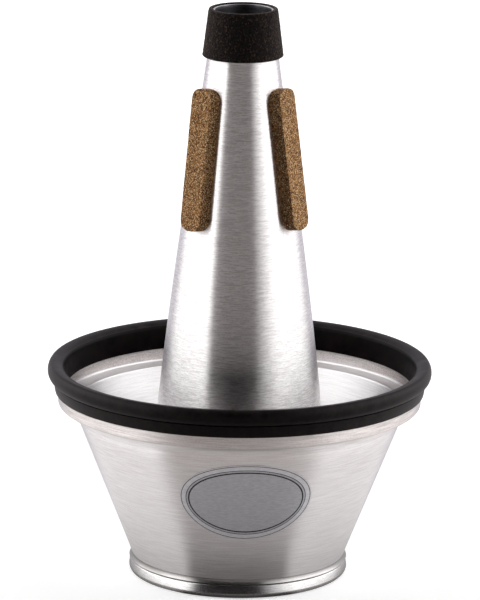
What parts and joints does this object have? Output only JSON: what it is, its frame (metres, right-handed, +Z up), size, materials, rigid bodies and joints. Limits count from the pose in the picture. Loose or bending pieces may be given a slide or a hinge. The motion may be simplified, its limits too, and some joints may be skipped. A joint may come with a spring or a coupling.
{
  "type": "trumpet cup mute",
  "caption": "Hollow spun aluminium cone with cork strips and a soft throat sleeve, standing in a spun cup with a rubber rim bumper.",
  "frame": {"origin": "centre of the flat foot ring that the mute stands on", "axes": "+Z up along the cone's axis to the open throat, -Y towards the viewer of the picture, the two strips that show are at its left and right"},
  "size_m": [0.1142, 0.1142, 0.1708],
  "materials": {
    "polished_aluminium": "polished, rolled seam",
    "brushed_cone": "satin, brushed round the axis",
    "brushed_cup": "satin, brushed round the axis",
    "rim_rubber": "smooth moulded, semi matt",
    "sleeve_foam": "fine open cell foam rubber, matt",
    "cork": "bonded granulated cork, matt"
  },
  "bodies": {
    "root": {"base_cap": "polished_aluminium", "cone_body": "brushed_cone", "cup_shell": "brushed_cup", "rim_bumper": "rim_rubber", "throat_sleeve": "sleeve_foam", "cork_strip_left": "cork", "cork_strip_right": "cork", "cork_strip_back": "cork"}
  },
  "joints": []
}
